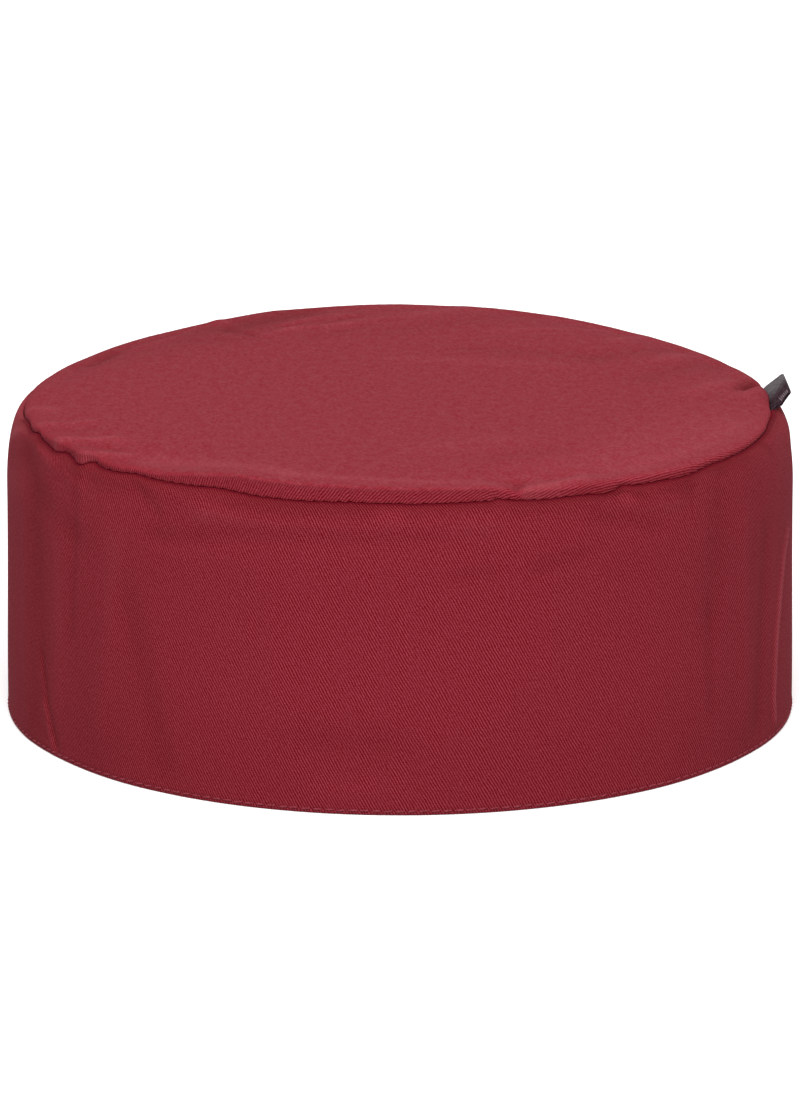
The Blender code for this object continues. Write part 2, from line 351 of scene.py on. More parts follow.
# Slackness of the cloth between the folds: seed, longest wave and strength
CROWN_SLACK = ((11, 70 * MM, 0.10 * MM), (12, 22 * MM, 0.012 * MM))
BAND_SLACK = (22, 45 * MM, 0.03 * MM)
BAND_WAVES = (21, 40.0, 0.08 * MM)
BAND_WAVES_GROW = (-20 * MM, 60 * MM)
SIDES_CALM = 0.8
SIDES_HALF_WIDTH = 14

# Twill: yarns side by side, each passing over two and under one
YARN_PITCH = 0.2437 * MM
PICK_PITCH = 0.4396 * MM
CROWN_GRAIN = -77.0

# Hem stitching
STITCH_PITCH = 2.84 * MM
STITCH_HEIGHT = 1.05 * MM
STITCH_LENGTH = 2.7 * MM
STITCH_LENGTHS = (0.86, 1.04)
STITCH_WIDTH = 0.5 * MM
STITCH_END_WIDTH = 0.03 * MM
STITCH_FLAT = 0.7
STITCH_LEAN = 0.10 * MM
LEAN_STRAY = 0.05
LIFT_STRAY = 0.06
STITCH_SUNK = 0.02 * MM
END_SUNK = 0.3 * MM
STITCH_STATIONS = np.array((-1.0, -0.9, -0.78, -0.4, 0.0, 0.4, 0.78, 0.9, 1.0))
STITCH_SEED = 5
THREAD_SIDES = 8
HEM_GROOVE = 0.12 * MM
HEM_GROOVE_WIDTH = 0.4 * MM

# The folded hem: how far it is pressed flat, and the height of its rounding
HEM_PRESSED = 0.1 * MM
HEM_ROUND = 0.5 * MM

# Label: a narrow woven ribbon folded in two
LABEL_ANGLE = 93.4
LABEL_WIDTH = 18.4 * MM
LABEL_RIBBON = 0.32 * MM
LABEL_LAYERS_APART = 0.5 * MM
LABEL_THICKNESS = 0.9 * MM
LABEL_ROOT = 4.0 * MM
LABEL_REACH = 4.7 * MM
LABEL_BEND = 2.9 * MM
LABEL_LEAN = 52.0
LABEL_TWIST = 1.5
LABEL_SINK = 0.5 * MM
LABEL_SAG = 1.6 * MM
LABEL_FLATTEN = 0.45 * MM
LABEL_GAP = 0.3 * MM
LABEL_ROUND = 0.5 * MM
LABEL_STATIONS = 61
LABEL_CLEARANCE = 0.1 * MM
LABEL_ROOM_EASE = (0.6, 4.0)

# Overcast threads on the label, from its front end: the points of its path at the ends of its upper face come first
LABEL_UPPER_FACE = (8, 18)
EDGING_THREADS = 6
EDGING_ACROSS = (0.06, 0.94)
EDGING_START = -0.985
EDGING_LENGTH = 3.0 * MM
EDGING_WIDTH = 0.36 * MM
EDGING_GIRTHS = np.array((0.5, 1.0, 1.0, 1.0, 0.8, 0.3))
EDGING_FLAT = 0.6


# ---- helpers ----


def smooth_step(low, high, value):
    share = np.clip((value - low) / (high - low), 0.0, 1.0)
    return share * share * (3.0 - 2.0 * share)


def hump(distance, half_width):
    return np.exp(-((distance / half_width) ** 2))


def angle_apart(first, second):
    return (first - second + 180.0) % 360.0 - 180.0


def ripple(values, seed, longest, strength, waves=9):
    """Smooth seeded waviness of a periodic angle in degrees; longest is the longest wave in degrees."""
    draw = np.random.default_rng(seed)
    total = np.zeros_like(values, dtype=float)
    for _ in range(waves):
        count = max(1, round(360.0 / longest * draw.uniform(1.0, 2.6)))
        total += draw.uniform(0.5, 1.0) * np.cos(np.radians(values) * count + draw.uniform(0, 2 * math.pi))
    return strength * total / math.sqrt(waves)


def waviness(x, y, seed, longest, strength, waves=12):
    """Smooth seeded waviness over a plane; longest is the longest wave in metres."""
    draw = np.random.default_rng(seed)
    total = np.zeros(np.broadcast(x, y).shape)
    for _ in range(waves):
        turn = draw.uniform(0, math.pi)
        beat = 2 * math.pi / (longest / draw.uniform(1.0, 2.8))
        along = x * math.cos(turn) + y * math.sin(turn)
        total += draw.uniform(0.4, 1.0) * np.cos(along * beat + draw.uniform(0, 2 * math.pi))
    return strength * total / math.sqrt(waves)


def superellipse(width, height, power, share):
    """A quarter turn from the top (share 0) to the side (share 1)."""
    turn = (1.0 - share) * math.pi / 2
    return width * np.cos(turn) ** (2 / power), height * np.sin(turn) ** (2 / power)


def around(angles, rows, column):
    """A column of the rows at each angle, in a straight line from row to row all round the hat."""
    at = [row[0] for row in rows]
    value = [row[column] for row in rows]
    return np.interp(angles, [at[-1] - 360, *at, at[0] + 360], [value[-1], *value, value[0]])


def grid_mesh(name, points, uvs, poles):
    """A mesh of rings of points, with a pole at both ends or else closed in a loop. uvs has one more column."""
    rings, columns, _ = points.shape
    ring = np.arange(rings - 1 if poles else rings)[:, None]
    column = np.arange(columns)
    following = (column + 1) % columns
    here, after = ring * columns, (ring + 1) % rings * columns
    quads = np.stack([here + column, after + column, after + following, here + following], -1).reshape(-1, 4)
    corners = [uvs[ring, column], uvs[ring + 1, column], uvs[ring + 1, column + 1], uvs[ring, column + 1]]
    corners = np.stack(corners, 2).reshape(-1, 2)
    loops = [quads.ravel()]
    starts = [np.arange(len(quads)) * 4]
    vertices = points.reshape(-1, 3)
    for row, first, second in ((0, 0, 1), (rings - 1, 1, 0)) if poles else ():
        pole = np.full(columns, len(vertices))
        vertices = np.vstack([vertices, points[row].mean(0)])
        rim = [row * columns + (column + step) % columns for step in (first, second)]
        starts.append(sum(len(part) for part in loops) + np.arange(columns) * 3)
        loops.append(np.stack([pole, *rim], 1).ravel())
        hub = np.broadcast_to(uvs[row].mean(0), (columns, 2))
        fan = np.stack([hub, uvs[row, column + first], uvs[row, column + second]], 1)
        corners = np.concatenate([corners, fan.reshape(-1, 2)])
    loops, starts = np.concatenate(loops), np.concatenate(starts)
    mesh = bpy.data.meshes.new(name)
    mesh.vertices.add(len(vertices))
    mesh.vertices.foreach_set("co", vertices.astype(np.float32).ravel())
    mesh.loops.add(len(loops))
    mesh.loops.foreach_set("vertex_index", loops.astype(np.int32))
    mesh.polygons.add(len(starts))
    mesh.polygons.foreach_set("loop_start", starts.astype(np.int32))
    mesh.update(calc_edges=True)
    mesh.uv_layers.new(name="weave").uv.foreach_set("vector", corners.astype(np.float32).ravel())
    mesh.validate()
    mesh.shade_smooth()
    return mesh


def add_share(mesh, name, values):
    """A number at each point of the mesh, for its material."""
    layer = mesh.attributes.new(name, "FLOAT", "POINT")
    padded = np.full(len(mesh.vertices), values.flat[0])
    padded[: values.size] = values.ravel()
    layer.data.foreach_set("value", padded.astype(np.float32))


def add_piece(name, mesh, material):
    piece = bpy.data.objects.new(name, mesh)
    bpy.context.scene.collection.objects.link(piece)
    mesh.materials.append(material)
    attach(piece, BODY)
    return piece


# ---- shape of the hat ----


def seam_stray(angles):
    """How far the seam strays outwards and down."""
    total = sum(ripple(angles, seed, longest, strength * MM) for seed, longest, strength in SEAM_RIPPLES)
    for at, width, stray in SEAM_WAVES:
        total = total + stray * MM * hump(angle_apart(angles, at), width)
    return total


def seam_pinch(angles):
    """0 to 1: how hard each stitch of the seam pulls the cloth in."""
    count = round(2 * math.pi * SEAM_RADIUS / SEAM_STITCH)
    uneven = PINCH_LEVEL + ripple(angles, PINCH_SEED, PINCH_WAVE, PINCH_UNEVEN)
    return np.clip(uneven, 0.0, 1.0) * (0.5 + 0.5 * np.cos(np.radians(angles) * count)) ** 2


def seam_place(angles):
    """How far the seam sits outside and above its place at the sides, and how far the lip reaches over it."""
    out, up, over = [around(angles, SEAM_PLACE, column) * MM for column in (1, 2, 3)]
    stray = seam_stray(angles)
    return out + stray * WAVE_OUT, up - stray * WAVE_DOWN, over


def seam_showing(angles):
    """1 where the seam's dark line of painted shade shows, less where the crown runs smoothly on into the band."""
    _, _, over = seam_place(angles)
    return smooth_step(*SEAM_SHOWS, over)


def seam_fold(angles, level):
    """0 to 1 on the fine fold that runs beside the seam, level 0 at the seam to 1 at the top of the lip."""
    place, depth = [around(angles, SEAM_FOLD, column) for column in (1, 2)]
    return depth * hump(level - place, SEAM_FOLD_WIDTH)


def crown_edge(angles):
    """Share of standing lip and rise of the edge at each angle."""
    return around(angles, CROWN_EDGE, 1), around(angles, CROWN_EDGE, 2) * MM


def crease(points, half_width, along, up):
    """0 to 1 on a fold that runs through the points, fading at its sides and ends."""
    total = np.zeros(np.broadcast(along, up).shape)
    for start, end in zip(points[:-1], points[1:]):
        run = (end[0] - start[0], end[1] - start[1])
        length = math.hypot(*run)
        on = ((along - start[0]) * run[0] + (up - start[1]) * run[1]) / length
        beside = ((along - start[0]) * run[1] - (up - start[1]) * run[0]) / length
        beyond = np.maximum(np.maximum(-on, on - length), 0.0)
        past_fold = (on < 0) & (start is points[0]) | (on > length) & (end is points[-1])
        fading = hump(beyond, np.where(past_fold, FOLD_END * half_width, half_width))
        total = np.maximum(total, hump(beside, half_width) * fading)
    return total


def crown_folds(column, x, y):
    """The rise in mm or the percentage of painted highlight (painted shade where negative) that all the crown's folds
    add at a point in plan.
    """
    total = np.zeros(np.broadcast(x, y).shape)
    for row in CROWN_FOLDS:
        spots = [(spot_x * MM, spot_y * MM) for spot_x, spot_y in row[POINTS]]
        total = total + row[column] * crease(spots, row[0] * MM, x, y)
    return total


def band_folds(column, angles, heights):
    """The rise in mm or the percentage of painted highlight (painted shade where negative) that all the band's folds
    add on its unrolled wall.
    """
    total = np.zeros(np.broadcast(angles, heights).shape)
    for row in BAND_FOLDS:
        middle = row[POINTS][0][0]
        spots = [(WALL_RADIUS * math.radians(angle - middle), height * MM) for angle, height in row[POINTS]]
        along = WALL_RADIUS * np.radians(angle_apart(angles, middle))
        total = total + row[column] * crease(spots, row[0] * MM, along, heights)
    return total


def crown_rise(x, y):
    """Height that the crown's folds and its slackness add at a point in plan."""
    return sum(waviness(x, y, *slack) for slack in CROWN_SLACK) + MM * crown_folds(RISE, x, y)


def band_rise(angles, heights):
    """How far creases and slackness push the band's wall outwards."""
    sides = hump(np.abs(angle_apart(angles, 0)) - 90, SIDES_HALF_WIDTH)
    total = ripple(angles, *BAND_WAVES) * smooth_step(*BAND_WAVES_GROW, heights)
    total = total + waviness(WALL_RADIUS * np.radians(angles), heights, *BAND_SLACK)
    return total * (1.0 - SIDES_CALM * sides) + MM * band_folds(RISE, angles, heights)


def label_room(angles):
    """How far the crown's turned edge steps in to make room for the label's root."""
    half_span = math.degrees(LABEL_WIDTH / 2 / SEAM_RADIUS)
    beyond = np.abs(angle_apart(angles, LABEL_ANGLE)) - half_span
    return (LABEL_THICKNESS + LABEL_CLEARANCE) * (1.0 - smooth_step(*LABEL_ROOM_EASE, beyond))


def placed(radius, angles, height):
    turn = np.radians(angles)
    radius, height = np.broadcast_arrays(radius, height)
    return np.stack([radius * np.sin(turn), -radius * np.cos(turn), height], -1)


def in_plan(radius, angles):
    flat_x, flat_y, _ = np.moveaxis(placed(radius, angles, 0.0), -1, 0)
    return flat_x, flat_y


def crown_cloth():
    """The crown's twill as a closed sheet: top, lip, turned edge and underside."""
    angles = np.linspace(-180.0, 180.0, CROWN_SEGMENTS, endpoint=False)[None, :]
    seam_out, seam_up, over = seam_place(angles)
    standing, rise = crown_edge(angles)
    outer = SEAM_RADIUS - SEAM_GAP / 2 + seam_out
    pinch = seam_pinch(angles)
    foot = LIP_FOOT + seam_up + SEAM_PUCKER * pinch
    over = over * (1.0 - PINCH_IN * pinch)
    lip_height = CROWN_HEIGHT + rise - foot
    room = label_room(angles)
    edge = outer + over - SOFT_LIP[0]

    def lip(share, inset):
        """Radius and height on the lip, share 0 on the flat top to 1 at the seam, inset by the cloth."""
        radius, height = 0.0, 0.0
        for (width, fall, power), part in ((STANDING_LIP, standing), (SOFT_LIP, 1.0 - standing)):
            fall = np.minimum(fall, LIP_MOST_FALL * lip_height)
            out, up = superellipse(width - inset, fall - inset, power, min(share / LIP_ROUND, 1.0))
            down_face = (lip_height - fall) * (1.0 - max(share - LIP_ROUND, 0.0) / (1.0 - LIP_ROUND))
            radius = radius + (outer + over - width + out) * part
            height = height + (foot + down_face + up) * part
        above_foot = np.clip((height - foot - INSIDE_LIFT * inset) / LIP_UNDERSIDE, 0.0, 1.0)
        low = np.clip((height - foot) / lip_height, 0.0, 1.0)
        tuck = over * (1.0 - np.sqrt(1.0 - (1.0 - above_foot) ** 2)) + room * (1.0 - smooth_step(0.0, 1.0, low))
        return radius - tuck, height

    def top(radius):
        """Height that the crown's fall towards its edge and its folds add."""
        near_edge = np.clip((radius - edge + DOME_FALL) / DOME_FALL, 0.0, 1.0)
        return DOME * (1.0 - near_edge**3) + rise * near_edge**2 + crown_rise(*in_plan(radius, angles))

    radii, heights = [], []

    def ring(radius, height):
        radii.append(np.broadcast_to(radius, angles.shape)[0])
        heights.append(np.broadcast_to(height, angles.shape)[0])

    def turned(drop, inset):
        """The turned edge below the seam, drop 0 at the seam to 1 at its end."""
        radius = outer - seam_out * drop - inset - room
        ring(radius, foot - (SEAM_ALLOWANCE + seam_up) * drop)

    def lip_ring(share, inset):
        """A ring on the lip with the folds that run out over it."""
        radius, height = lip(share, inset)
        level = (height - foot) / lip_height
        folded = crown_rise(*in_plan(radius, angles)) * smooth_step(0.0, FOLDS_WHOLE, level)
        ring(radius, height + folded - SEAM_FOLD_DEPTH * seam_fold(angles, level))

    flat_edge, _ = lip(0.0, 0.0)
    for share in TOP_SHARES:
        ring(flat_edge * share, CROWN_HEIGHT + top(flat_edge * share))
    for share in LIP_SHARES:
        lip_ring(share, 0.0)
    for drop in np.linspace(0.0, 1.0, 5)[1:]:
        turned(drop, 0.0)
    for drop in np.linspace(1.0, 0.0, 4):
        turned(drop, CROWN_CLOTH)
    for share in LIP_INSIDE_SHARES:
        lip_ring(share, CROWN_CLOTH)
    for share in TOP_INSIDE_SHARES:
        ring(flat_edge * share, CROWN_HEIGHT + top(flat_edge * share) - CROWN_CLOTH)

    radius, height = np.array(radii), np.array(heights)
    points = placed(radius, angles, height)
    steps = np.hypot(np.diff(radius, axis=0), np.diff(height, axis=0))
    reach = np.concatenate([radius[:1], radius[:1] + np.cumsum(steps, axis=0)])
    reach = np.concatenate([reach, reach[:, :1]], axis=1)
    turn = np.radians(np.linspace(-180.0, 180.0, CROWN_SEGMENTS + 1) - CROWN_GRAIN)[None, :]
    uvs = np.stack([reach * np.sin(turn), -reach * np.cos(turn)], -1)
    mesh = grid_mesh("crown_cloth", points, uvs, poles=True)
    above_seam = height - foot
    level = above_seam / lip_height
    # Painted shade on the lip's foot and underside where the seam's line shows, and along the fine fold beside the
    # seam
    under = 1.0 - smooth_step(UNDERSIDE_START * LIP_UNDERSIDE, LIP_UNDERSIDE, above_seam)
    painted_seam_shade = (1.0 - smooth_step(0.0, SEAM_SHADE, above_seam) + under) * seam_showing(angles)
    add_share(mesh, "painted_seam_shade", np.maximum(painted_seam_shade, SEAM_FOLD_SHADE * seam_fold(angles, level)))
    # Where the nap lies flat on the top, which also carries its painted sheen
    add_share(mesh, "top_nap_and_sheen", smooth_step(TOP_NAP_AND_SHEEN_FROM, 1.0, level))
    # Painted highlight and shade of the crown's folds
    add_share(mesh, "painted_light_shade", 0.5 + crown_folds(PAINTED_LIGHT, *in_plan(radius, angles)) / 100)
    return mesh


def flare(height):
    """How far the wall flares out towards the hem."""
    return HEM_FLARE * (1.0 - smooth_step(0.0, FLARE_HEIGHT, height))


def band_section():
    """The band's outline from its turned edge over the shoulder, down the wall, round the hem and up inside."""
    groove = SEAM_RADIUS + SEAM_GAP / 2
    crest = groove + SEAM_ROLL
    edge = LIP_FOOT - SEAM_ALLOWANCE
    inner = WALL_RADIUS - BAND_CLOTH
    section = []
    for drop in np.linspace(1.0, 0.0, 5)[:-1]:
        section.append((groove, LIP_FOOT - SEAM_ALLOWANCE * drop))
    for turn in np.radians(np.linspace(180, 90, 9)):
        section.append((crest + SEAM_ROLL * math.cos(turn), BAND_HEIGHT - SEAM_ROLL * (1.0 - math.sin(turn))))
    for turn in np.radians(np.linspace(88, 0, 30)):
        out = (WALL_RADIUS - crest) * math.cos(turn)
        section.append((crest + out, SHOULDER_START + (BAND_HEIGHT - SHOULDER_START) * math.sin(turn)))
    for height in WALL_HEIGHTS:
        groove_in = HEM_GROOVE * hump(height - STITCH_HEIGHT, HEM_GROOVE_WIDTH)
        section.append((WALL_RADIUS + flare(height) - groove_in, height))
    hem_half = BAND_CLOTH / 2 - HEM_PRESSED
    hem_centre = HEM_RADIUS - hem_half
    for turn in np.radians(np.linspace(-8, -172, 12)):
        section.append((hem_centre + hem_half * math.cos(turn), HEM_ROUND + HEM_ROUND * math.sin(turn)))
    for height in INSIDE_HEIGHTS:
        section.append((inner + flare(height), height))
    # the last two points close the inside up to the end of the turned edge
    section.append((inner - 0.2 * MM, edge - 0.6 * MM))
    section.append((groove + BAND_CLOTH, edge - 0.8 * MM))
    return np.array(section)


def section_reach(section):
    """Distance along the band's outline at each point, and once round at the end."""
    closed = np.vstack([section, section[:1]])
    return np.concatenate([[0.0], np.cumsum(np.hypot(*np.diff(closed, axis=0).T))])


def band_cloth():
    """The band's doubled twill as a closed ring: turned edge, shoulder, wall, hem and inside."""
    angles = np.linspace(-180.0, 180.0, BAND_SEGMENTS, endpoint=False)[None, :]
    section = band_section()
    radius, height = section[:, :1], section[:, 1:]
    groove = SEAM_RADIUS + SEAM_GAP / 2
    seam_out, seam_up, over = seam_place(angles)
    in_groove = radius < groove + SEAM_ROLL / 4
    drop = np.clip((LIP_FOOT - height) / SEAM_ALLOWANCE, 0.0, 1.0)
    climb = np.clip((height - SHOULDER_START) / (BAND_HEIGHT - SHOULDER_START), 0.0, 1.0)
    outside = np.where(radius > WALL_RADIUS - BAND_CLOTH - 2 * SEAM_ROLL - climb * (WALL_RADIUS - groove), 1.0, 0.0)
    outwards = np.where(in_groove, 1.0 - drop, (1.0 - np.sqrt(1.0 - climb**2)) * outside)
    upwards = np.where(in_groove, 1.0 - drop, smooth_step(CREST_CLIMB, 1.0, climb) * outside)
    near = np.where(in_groove, 1.0, smooth_step(BAND_HEIGHT - CREST_EASE, BAND_HEIGHT - SEAM_ROLL, height))
    closing = CREST_CLOSING * (1.0 - smooth_step(*CREST_CLOSES, over)) + CREST_PUCKER * seam_pinch(angles)
    sink = (BAND_HEIGHT - LIP_FOOT + CREST_BELOW_LIP - closing) * upwards
    moved = radius + seam_out * outwards + band_rise(angles, height) * (1.0 - near)
    points = placed(moved, angles, height + seam_up * upwards - sink * near)
    turn = np.radians(np.linspace(-180.0, 180.0, BAND_SEGMENTS + 1))
    uvs = np.stack(np.broadcast_arrays(WALL_RADIUS * turn[None, :], -section_reach(section)[:, None]), -1)
    mesh = grid_mesh("band_cloth", points, uvs, poles=False)
    outward = np.where(radius > groove + SEAM_ROLL, 1.0, 0.0)
    below = BAND_HEIGHT - height
    # Painted shade on the band below the lip's edge; in the groove, a value that picks the painted red of light
    # bouncing there
    painted_seam_shade = np.where(in_groove, 2.0, 1.0 - smooth_step(0.0, BAND_SHADE, below) * outward)
    add_share(mesh, "painted_seam_shade", painted_seam_shade * seam_showing(angles))
    add_share(mesh, "top_nap_and_sheen", np.zeros(points.shape[:2]))
    # Painted highlight and shade of the band's creases
    add_share(mesh, "painted_light_shade", 0.5 + band_folds(PAINTED_LIGHT, angles, height) / 100)
    return mesh


def tube(first, rings, sides):
    """Faces between rings of points, the first of them starting at that point."""
    faces = []
    for ring in range(first, first + (rings - 1) * sides, sides):
        for side in range(sides):
            a, b = ring + side, ring + (side + 1) % sides
            faces.append((a, a + sides, b + sides, b))
    return faces


def capsule(vertices, faces, centres, girths, across, upward):
    """Adds one bar of thread through the centres, with its width and height directions."""
    first = len(vertices)
    for centre, girth in zip(centres, girths):
        for turn in np.linspace(0, 2 * math.pi, THREAD_SIDES, endpoint=False):
            vertices.append(tuple(centre + girth * (across * math.cos(turn) + upward * math.sin(turn))))
    faces += tube(first, len(centres), THREAD_SIDES)
    faces.append(tuple(range(first, first + THREAD_SIDES)))
    faces.append(tuple(reversed(range(len(vertices) - THREAD_SIDES, len(vertices)))))


def joined(name, vertices, faces):
    mesh = bpy.data.meshes.new(name)
    mesh.from_pydata(vertices, [], faces)
    mesh.shade_smooth()
    return mesh


def hem_stitches():
    """Topstitching round the hem: short leaning bars of thread sunk at both ends."""
    count = round(2 * math.pi * HEM_RADIUS / STITCH_PITCH)
    ends = STITCH_STATIONS
    draw = np.random.default_rng(STITCH_SEED)
    vertices, faces = [], []
    for stitch in range(count):
        angle = 360.0 * (stitch + 0.5) / count - 180.0
        lean = STITCH_LEAN + draw.uniform(-LEAN_STRAY, LEAN_STRAY) * MM
        lift = draw.uniform(-LIFT_STRAY, LIFT_STRAY) * MM
        length = STITCH_LENGTH * draw.uniform(*STITCH_LENGTHS)
        turns = angle + np.degrees(ends * length / 2 / HEM_RADIUS)
        heights = STITCH_HEIGHT + lift + lean * ends
        wall = HEM_RADIUS + band_rise(turns, heights)
        centres = placed(wall - STITCH_SUNK - END_SUNK * ends**8, turns, heights)
        girths = STITCH_WIDTH / 2 * np.sqrt(np.maximum(0.0, 1.0 - np.abs(ends) ** 3)) + STITCH_END_WIDTH
        outward = placed(1.0, angle, 0.0)
        capsule(vertices, faces, centres, girths, outward * STITCH_FLAT, np.array((0.0, 0.0, 1.0)))
    mesh = joined("hem_stitching", vertices, faces)
    # Painted shade at the stitch's ends, where the thread goes into the cloth
    add_share(mesh, "hole_shade", np.tile(np.repeat(ends**8, THREAD_SIDES), count))
    return mesh


def label_path(reach, station):
    """The ribbon's middle line in radius and height: up one layer, round the fold, down the other."""
    seam_out = around(LABEL_ANGLE, SEAM_PLACE, 1) * MM
    root_radius = SEAM_RADIUS + seam_out + SEAM_GAP / 2 - LABEL_GAP - LABEL_THICKNESS / 2
    bend = np.array((root_radius + LABEL_BEND, BAND_HEIGHT - LABEL_SINK))
    lean_by = LABEL_LEAN + LABEL_TWIST * station
    lean = math.radians(lean_by)
    half = LABEL_LAYERS_APART / 2
    along = np.array((math.sin(lean), math.cos(lean)))
    aside = np.array((-math.cos(lean), math.sin(lean)))
    sag = np.array((LABEL_SAG * max(0.0, -station) ** 2, 0.0))
    flatten = np.array((-LABEL_FLATTEN * (1.0 - station**2), 0.0))
    tip = bend + aside * LABEL_BEND + along * reach + flatten

    def root(part, offset):
        return root_radius + offset, bend[1] - LABEL_ROOT * part

    def crest(part, offset):
        turn = math.radians(180 - lean_by * part)
        return bend + (LABEL_BEND + offset) * np.array((math.cos(turn), math.sin(turn))) + sag * part

    def straight(part, offset):
        flat = bend + aside * (LABEL_BEND + offset) + along * reach * part
        return flat + sag * (1.0 - part) + flatten * part

    over_crest = np.linspace(0.0, 1.0, 5)
    outwards = np.linspace(0.1, 0.95, 12)
    path = [root(part, -half) for part in (1.0, 0.5)]
    path += [crest(part, half) for part in over_crest]
    path += [straight(part, half) for part in outwards]
    for turn in np.radians(np.linspace(180 - lean_by, -lean_by, 9)):
        path.append(tip + half * np.array((math.cos(turn), math.sin(turn))))
    path += [straight(part, -half) for part in reversed(outwards)]
    path += [crest(part, -half) for part in reversed(over_crest)]
    path += [root(part, half) for part in (0.5, 1.0)]
    return np.array(path)


def woven_label():
    """The folded ribbon as one closed solid with rounded corners and a slight curl."""
    half_span = math.degrees(LABEL_WIDTH / 2 / SEAM_RADIUS)
    stations = np.linspace(-1.0, 1.0, LABEL_STATIONS)
    rows = []
    for station in stations:
        from_end = (1.0 - abs(station)) * LABEL_WIDTH / 2
        inside = min(from_end / LABEL_ROUND, 1.0)
        reach = LABEL_REACH - LABEL_ROUND * (1.0 - math.sqrt(1.0 - (1.0 - inside) ** 2))
        path = label_path(reach, station)
        ahead = np.gradient(path, axis=0)
        ahead = ahead / np.linalg.norm(ahead, axis=1, keepdims=True)
        aside = np.stack([-ahead[:, 1], ahead[:, 0]], 1)
        ribbon = LABEL_RIBBON / 2 * (1.0 - 0.5 * (1.0 - inside))
        outline = np.vstack([path + aside * ribbon, (path - aside * ribbon)[::-1]])
        rows.append(placed(outline[:, 0], LABEL_ANGLE + station * half_span, outline[:, 1]))
    points = np.array(rows)
    count, around_it, _ = points.shape
    faces = [(a, d, c, b) for a, b, c, d in tube(0, count, around_it)]
    half = around_it // 2
    for first, step in ((0, -1), ((count - 1) * around_it, 1)):
        for side in range(first, first + half - 1):
            across = 2 * first + around_it - 1 - side
            faces.append((side, side + 1, across - 1, across)[::step])
    mesh = joined("woven_label", points.reshape(-1, 3).tolist(), faces)
    across = np.broadcast_to(stations[:, None], (count, around_it))
    # Share towards the rear, which carries the label's painted sheen
    add_share(mesh, "rearward", 0.5 + 0.5 * across)
    return mesh


def label_edging():
    """Pale overcast threads along the front end of the label's upper face."""
    half_span = math.degrees(LABEL_WIDTH / 2 / SEAM_RADIUS)
    first, last = LABEL_UPPER_FACE
    stations = np.linspace(EDGING_START, EDGING_START + 2 * EDGING_LENGTH / LABEL_WIDTH, len(EDGING_GIRTHS))
    vertices, faces = [], []
    for part in np.linspace(*EDGING_ACROSS, EDGING_THREADS):
        spots = []
        for station in stations:
            path = label_path(LABEL_REACH, station)
            ahead = (path[last] - path[first]) / np.linalg.norm(path[last] - path[first])
            outward = np.array((-ahead[1], ahead[0]))
            spots.append(path[first] + (path[last] - path[first]) * part + outward * LABEL_RIBBON / 2)
        spots = np.array(spots)
        centres = placed(spots[:, 0], LABEL_ANGLE + stations * half_span, spots[:, 1])
        side = placed(ahead[0], LABEL_ANGLE, ahead[1])
        rising = placed(outward[0], LABEL_ANGLE, outward[1])
        capsule(vertices, faces, centres, EDGING_WIDTH / 2 * EDGING_GIRTHS, side, rising * EDGING_FLAT)
    return joined("label_edging", vertices, faces)


# ---- materials ----

# Colours as linear red, green and blue: where the surface is low, and where it is high
# The twill's low and high colours: its real weave, with painted shade in the furrows and painted sheen on the floats
BURGUNDY = ((0.137, 0.0008, 0.004), (0.300, 0.040, 0.060))
# The label's colours: dark with painted shade towards its front, pale with painted sheen towards its rear
LABEL_DARK = ((0.026, 0.013, 0.018), (0.056, 0.034, 0.042))
LABEL_PALE = ((0.085, 0.076, 0.080), (0.130, 0.118, 0.124))
EDGING_THREAD = ((0.11, 0.08, 0.09), (0.24, 0.19, 0.21))
HEM_THREAD = ((0.15, 0.010, 0.019), (0.25, 0.038, 0.053))
FLOOR = ((0.94, 0.94, 0.94), (0.96, 0.96, 0.96))
FLOOR_GLOW = 0.15

# Colours it turns to: painted sheen on the top, painted highlight on fold crests, painted shade at the seam's edge,
# the painted red of light bouncing inside the seam's groove, painted shade in a stitch's hole
PAINTED_SHEEN = (0.5, 0.33, 0.35)
PAINTED_HIGHLIGHT = (0.62, 0.19, 0.22)
CREVICE_SHADE = (0.095, 0.0008, 0.007)
INSIDE_SEAM_BOUNCE = (0.45, 0.001, 0.012)
STITCH_HOLE_SHADE = (0.05, 0.001, 0.002)
SHEEN_TINT = (1.0, 0.62, 0.62, 1.0)

# How shade deepens the twill: how much in the seam, faster in green and blue, and the least left
SEAM_DEEPENS = -0.27
DEEPENING = (1.0, 1.4, 1.5)
LEAST_LEFT = (0.1, 0.1, 0.1)
# Values of the painted seam shade over which the twill turns to the painted shade of the seam's edge and to the
# painted red of light bouncing inside its groove
CREVICE_SHADE_SPAN = (0.93, 1.0)
CREVICE_SHADE_SHARE = 0.75
INSIDE_BOUNCE_SPAN = (1.1, 1.6)

# Waves of noise per mm of cloth, and how far they carry yarns and floats
BEND_WAVES = 0.22
JITTER_WAVES = 1.7
YARN_BEND = 1.6
FLOAT_BEND = 0.6
FLOAT_JITTER = 0.55
# A float's rise and fall, and its roundness across
FLOAT_SPAN = (-0.75, 0.7)
FLOAT_ROUND = -0.35
# Uneven brightness of the yarns: size in mm, gain and least
BEAD_SIZE = (0.5, 0.6)
BEAD_GAIN = (0.45, 0.7)
# Nap over the crown's weave: waves per mm, gain and least, and cover; then the painted sheen over the top
FUZZ_WAVES = 1.1
FUZZ_GAIN = (0.5, 0.1)
FUZZ_COVER = 0.75
SHEEN_WAVES = 0.35
SHEEN_GAIN = (0.11, -0.038)
# Gain of the painted highlight on the folds' crests
PAINTED_HIGHLIGHT_GAIN = 0.5
NOISE_SPAN = (0.3, 0.7)

